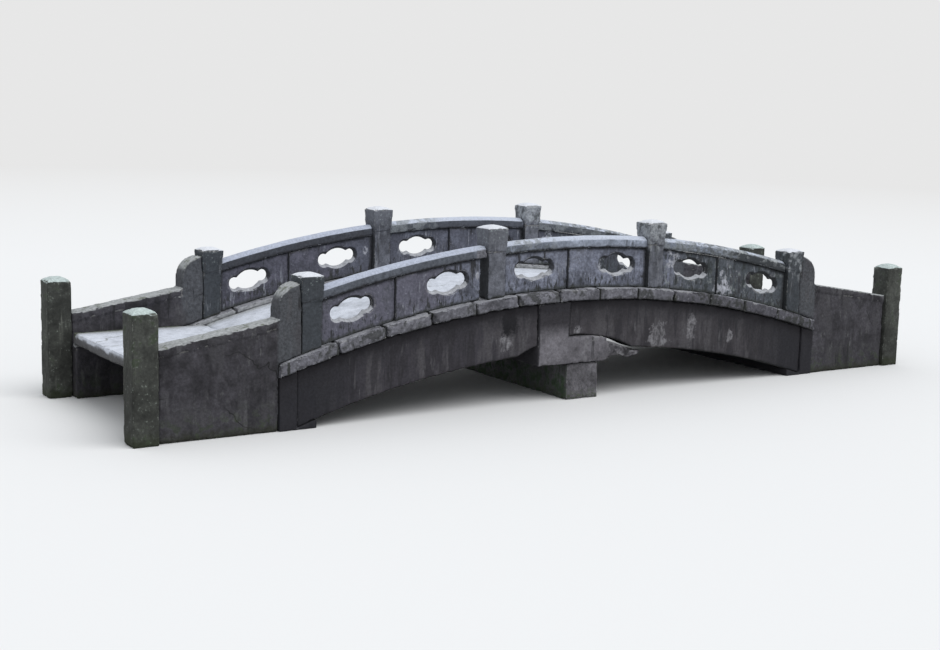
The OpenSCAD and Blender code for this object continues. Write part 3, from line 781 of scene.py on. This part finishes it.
def paving():
    """Pale and nearly even, dirty along its sides, with moss at the curbs and a few fine cracks."""
    slab = Finish("paving", body=(0.59, 0.62, 0.69), seed=8.0, contrast=0.42)
    trodden = slab.overlap(slab.step(slab.cloud, 0.5, 0.62, 0.35), slab.step(slab.fleck, 0.45, 0.6))
    slab.cover(trodden, (0.42, 0.43, 0.46))
    spots = slab.overlap(slab.step(slab.blotch, 0.58, 0.66, 0.4), slab.step(slab.fleck, 0.42, 0.56))
    slab.cover(spots, (0.25, 0.26, 0.25), 0.35)
    from_middle = slab.calc("ABSOLUTE", slab.y)
    dirty_side = slab.step(slab.frayed(from_middle, 0.05), 0.8, 1.0, 0.75)
    slab.cover(dirty_side, (0.22, 0.225, 0.21), 0.35)
    mossy_side = slab.step(slab.frayed(from_middle, 0.012), 0.955, 0.985, 0.9)
    slab.cover(mossy_side, (0.07, 0.08, 0.055))
    top_cracks = slab.overlap(cracks(slab, 1.1, 0.007, 4), slab.step(slab.nz, 0.5, 0.8, 0.75))
    slab.cover(top_cracks, (0.2, 0.205, 0.19))
    # Painted shade: the slab's sides are darker than its top, and its underside darker still.
    slab.cover(slab.step(slab.nz, 0.3, 0.0), (0.13, 0.13, 0.135))
    slab.cover(slab.step(slab.nz, -0.3, -0.7), (0.06, 0.06, 0.062))
    return slab.done(raw=(0.4, 0.4, 0.4))


paving_finish = paving()
piece = worn_piece("deck_slab", grain=0.022, chip=0.01, dent=0.004, keep=0.4)
set_in_place(piece, "deck_slab", paving_finish)

# Wing walls
# Low cast walls with a sloping coping flank both approaches, and their round shoulders stand against the
# end posts. They are nearly black, partly with age and partly as painted shade, with a pale top.
shoulder_end = 3.36


def wall_concrete():
    """Nearly black, a little paler at the shoulders, with faint streaks, fine cracks and a pale top."""
    # The body colour is partly painted shade, darker than the walls' own colour.
    wall = Finish("wall_concrete", body=(0.046, 0.044, 0.051), seed=9.0, contrast=1.1)
    shoulder = wall.step(wall.calc("ABSOLUTE", wall.x), shoulder_end, shoulder_end - 0.04, 0.85)
    wall.cover(shoulder, (0.085, 0.09, 0.1), 0.35)
    wall.cover(wall.streaks(4, width=0.06, low=0.52, high=0.64), (0.024, 0.024, 0.026))
    pale_bands = wall.step(wall.patches(0.2, 6, detail=3.0, stretch=(1, 1, 4)), 0.5, 0.62, 0.7)
    wall.cover(pale_bands, (0.066, 0.064, 0.071))
    wall.cover(wall.streaks(5, width=0.08, low=0.54, high=0.68, long=6), (0.085, 0.083, 0.09))
    short_streaks = wall.streaks(7, width=0.05, low=0.56, high=0.68, long=3)
    wall.cover(wall.overlap(short_streaks, wall.step(wall.blotch, 0.4, 0.56, 0.7)), (0.125, 0.125, 0.128))
    wall.cover(cracks(wall, 0.9, 0.007, 11), (0.018, 0.018, 0.019))
    low_down = wall.step(wall.frayed(wall.z, 0.1), 0.4, 0.05)
    wall.cover(wall.overlap(wall.step(wall.blotch, 0.5, 0.6, 0.7), low_down), (0.04, 0.054, 0.028))
    foot = wall.step(wall.frayed(wall.z, 0.06), 0.1, 0.0, 0.85)
    wall.cover(foot, (0.03, 0.032, 0.022))
    pale_top = wall.step(wall.frayed(wall.nz, 0.12), 0.3, 0.6)
    wall.cover(pale_top, (0.33, 0.342, 0.348), 0.35)
    mossy_top = wall.overlap(wall.step(wall.nz, 0.3, 0.6), wall.step(wall.blotch, 0.56, 0.62, 0.7))
    wall.cover(mossy_top, (0.1, 0.112, 0.075))
    return wall.done(raw=(0.2, 0.197, 0.19))


wall_finish = wall_concrete()
for side in ["near", "far"]:
    for span in ["left", "right"]:
        node = f"{side}_{span}_wing_wall"
        piece = worn_piece(node, grain=0.012, chip=0.012, dent=0.004, keep=0.35)
        set_in_place(piece, node, wall_finish)

# Landings
# A flat slab of cast concrete lies between each pair of wing walls, on the abutment and on ledges inside
# the walls, and meets the end of the deck. It is worn as pale as the deck.
for span in ["left", "right"]:
    node = f"{span}_landing"
    piece = worn_piece(node, grain=0.018, chip=0.016, dent=0.004, keep=0.4)
    set_in_place(piece, node, paving_finish)

# Bollards
# Four square bollards of dark mossy concrete stand at the outer ends of the wing walls, two at each
# approach. Each has a pale, slightly crowned cap.


def bollard_concrete():
    """Dark green grey with pale streaks and specks of lichen, black at the foot and pale on top."""
    bollard = Finish("bollard_concrete", body=(0.056, 0.059, 0.053), seed=10.0)
    moss = bollard.overlap(bollard.step(bollard.blotch, 0.54, 0.62, 0.7),
                           bollard.step(bollard.cloud, 0.45, 0.55))
    bollard.cover(moss, (0.045, 0.062, 0.035))
    bollard.cover(bollard.streaks(4), (0.12, 0.125, 0.11))
    lichen = bollard.overlap(bollard.step(bollard.fleck, 0.6, 0.66, 0.7),
                             bollard.step(bollard.blotch, 0.48, 0.58))
    bollard.cover(lichen, (0.2, 0.225, 0.2))
    foot = bollard.step(bollard.frayed(bollard.z, 0.06), 0.14, 0.02, 0.85)
    bollard.cover(foot, (0.028, 0.034, 0.018))
    cap = bollard.step(bollard.frayed(bollard.nz, 0.1), 0.35, 0.6)
    bollard.cover(cap, (0.47, 0.54, 0.53))
    return bollard.done(raw=(0.2, 0.21, 0.19))


bollard_finish = bollard_concrete()
for span in ["left", "right"]:
    node = f"{span}_bollards"
    piece = worn_piece(node, grain=0.009, chip=0.011, dent=0.0025, keep=0.4)
    set_in_place(piece, node, bollard_finish)

# Floor and light
# The bridge stands on a plain pale floor that fades into an even backdrop far away. The light is soft and
# even, with one broad lamp above the front.
pale = (0.8, 0.8, 0.8, 1.0)
lit_floor = (0.3, 0.3, 0.3, 1.0)
even_light = (0.94, 0.97, 1.0, 1.0)
even_strength = 0.78
lamp_strength = 1.45
lamp_width = math.radians(50)
lamp_towards = Vector((-0.25, 0.5, -0.85))
floor_r = 120.0
fade_from = 12.0
fade_to = 40.0


def background_rays(tree):
    """1 where a ray shows the background: straight from the camera, in a gloss or through glass."""
    rays = add_node(tree, "ShaderNodeLightPath").outputs
    shown = rays["Is Camera Ray"]
    for kind in ["Is Glossy Ray", "Is Transmission Ray"]:
        shown = add_node(tree, "ShaderNodeMath", {0: shown, 1: rays[kind]}, operation="MAXIMUM").outputs[0]
    return shown


def floor_paint():
    """Matte and pale to the eye, darker to the light that it throws up, and faded out far away."""
    paint = bpy.data.materials.new("floor")
    paint.use_nodes = True
    tree = paint.node_tree
    tree.nodes.clear()
    seen = background_rays(tree)
    shade = add_node(tree, "ShaderNodeMix", {0: seen, 6: lit_floor, 7: pale}, data_type="RGBA").outputs[2]
    matte = add_node(tree, "ShaderNodeBsdfDiffuse", {"Color": shade}).outputs[0]
    backdrop = add_node(tree, "ShaderNodeEmission", {"Color": pale}).outputs[0]
    place = add_node(tree, "ShaderNodeTexCoord").outputs["Object"]
    away = add_node(tree, "ShaderNodeVectorMath", {0: place}, operation="LENGTH").outputs["Value"]
    far = add_node(tree, "ShaderNodeMapRange", {0: away, 1: fade_from, 2: fade_to}).outputs[0]
    fade = add_node(tree, "ShaderNodeMath", {0: seen, 1: far}, operation="MULTIPLY").outputs[0]
    surface = add_node(tree, "ShaderNodeMixShader", {0: fade, 1: matte, 2: backdrop}).outputs[0]
    add_node(tree, "ShaderNodeOutputMaterial", {"Surface": surface})
    return paint


def pale_world():
    """Even light from all round, with a pale backdrop where a ray shows the background."""
    world = bpy.data.worlds.new("world")
    world.use_nodes = True
    tree = world.node_tree
    tree.nodes.clear()
    values = {"Color": even_light, "Strength": even_strength}
    light = add_node(tree, "ShaderNodeBackground", values).outputs[0]
    backdrop = add_node(tree, "ShaderNodeBackground", {"Color": pale}).outputs[0]
    seen = background_rays(tree)
    surface = add_node(tree, "ShaderNodeMixShader", {0: seen, 1: light, 2: backdrop}).outputs[0]
    add_node(tree, "ShaderNodeOutputWorld", {"Surface": surface})
    return world


disc = bmesh.new()
bmesh.ops.create_circle(disc, cap_ends=True, segments=96, radius=floor_r)
floor_mesh = bpy.data.meshes.new("floor")
disc.to_mesh(floor_mesh)
disc.free()
floor = bpy.data.objects.new("floor", floor_mesh)
bpy.context.scene.collection.objects.link(floor)
floor.data.materials.append(floor_paint())
bpy.context.scene.world = pale_world()

lamp_data = bpy.data.lights.new("lamp", "SUN")
lamp_data.energy = lamp_strength
lamp_data.angle = lamp_width
lamp = bpy.data.objects.new("lamp", lamp_data)
lamp.matrix_world = lamp_towards.to_track_quat("-Z", "Y").to_matrix().to_4x4()
bpy.context.scene.collection.objects.link(lamp)
bpy.context.scene.view_settings.view_transform = "Standard"
